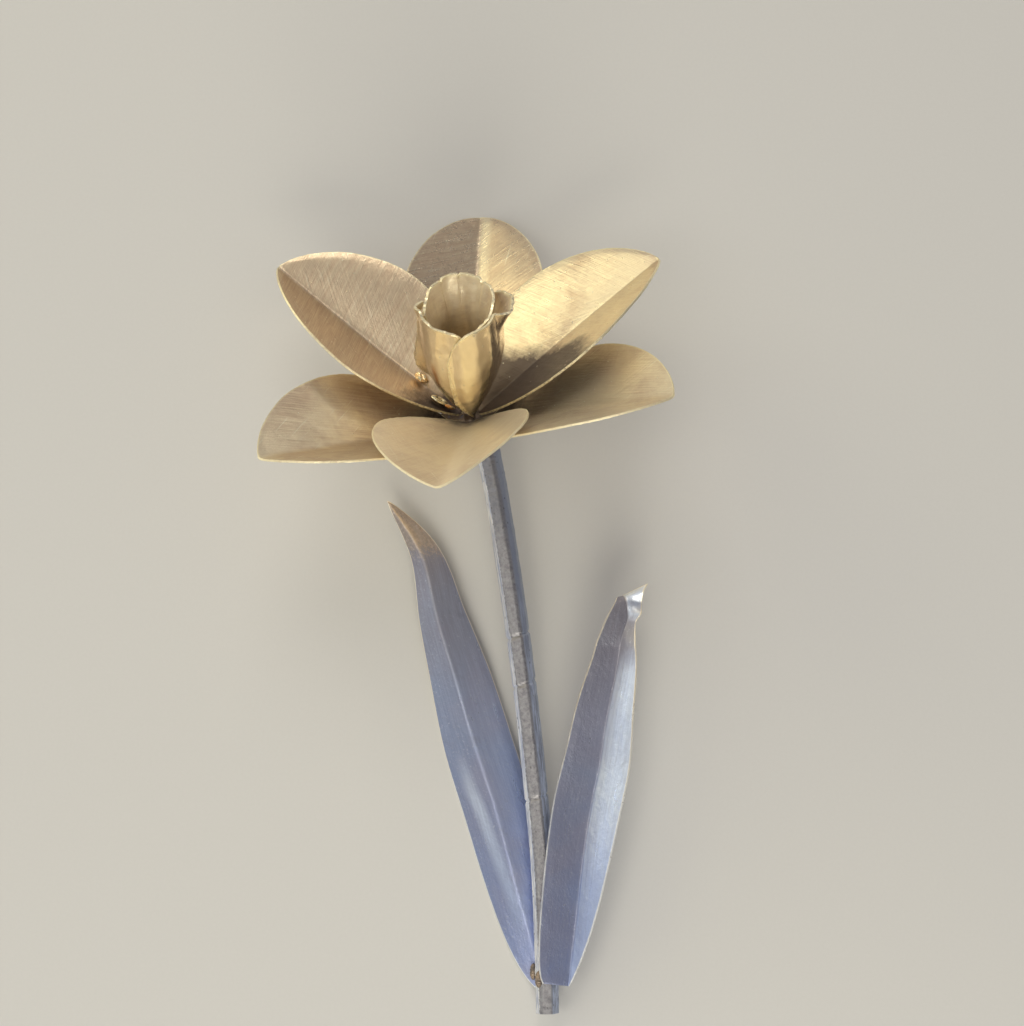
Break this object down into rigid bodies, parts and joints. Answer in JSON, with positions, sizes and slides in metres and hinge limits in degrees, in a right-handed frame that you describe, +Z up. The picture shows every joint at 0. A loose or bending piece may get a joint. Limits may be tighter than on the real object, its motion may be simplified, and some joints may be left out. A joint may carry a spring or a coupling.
{
  "type": "sheet-metal daffodil sculpture",
  "caption": "Daffodil made of sheet metal: folded brass petals round a rolled brass trumpet, on a ground steel bar stem with folded steel leaves; lies on its back.",
  "frame": {"origin": "on the surface that the part lies on, under the middle of its bounding box", "axes": "+Y from the cut end of the stem towards the flower, +Z up from the surface, +X to the right seen from above"},
  "size_m": [0.1054, 0.2197, 0.0819],
  "materials": {
    "petals": "brushed, with a light heat tint and fine sanding scratches",
    "trumpet": "rolled and brushed, with hammered rim",
    "leaves": "brushed lengthways, with bright ground edges",
    "stem": "ground by hand, with dull facets and nicks",
    "braze": "smooth solidified drop",
    "weld": "rough weld bead with scale"
  },
  "bodies": {
    "root": {"petal_back": "petals", "petal_upper_left": "petals", "petal_upper_right": "petals", "petal_front": "petals", "petal_lower_left": "petals", "petal_lower_right": "petals", "trumpet_left": "trumpet", "trumpet_right": "trumpet", "trumpet_back": "trumpet", "neck_weld": "weld", "stem": "stem", "leaf_left": "leaves", "leaf_right": "leaves", "braze_foot": "braze", "braze_left": "braze", "weld_right_leaf": "weld", "weld_left_leaf": "weld"}
  },
  "joints": []
}
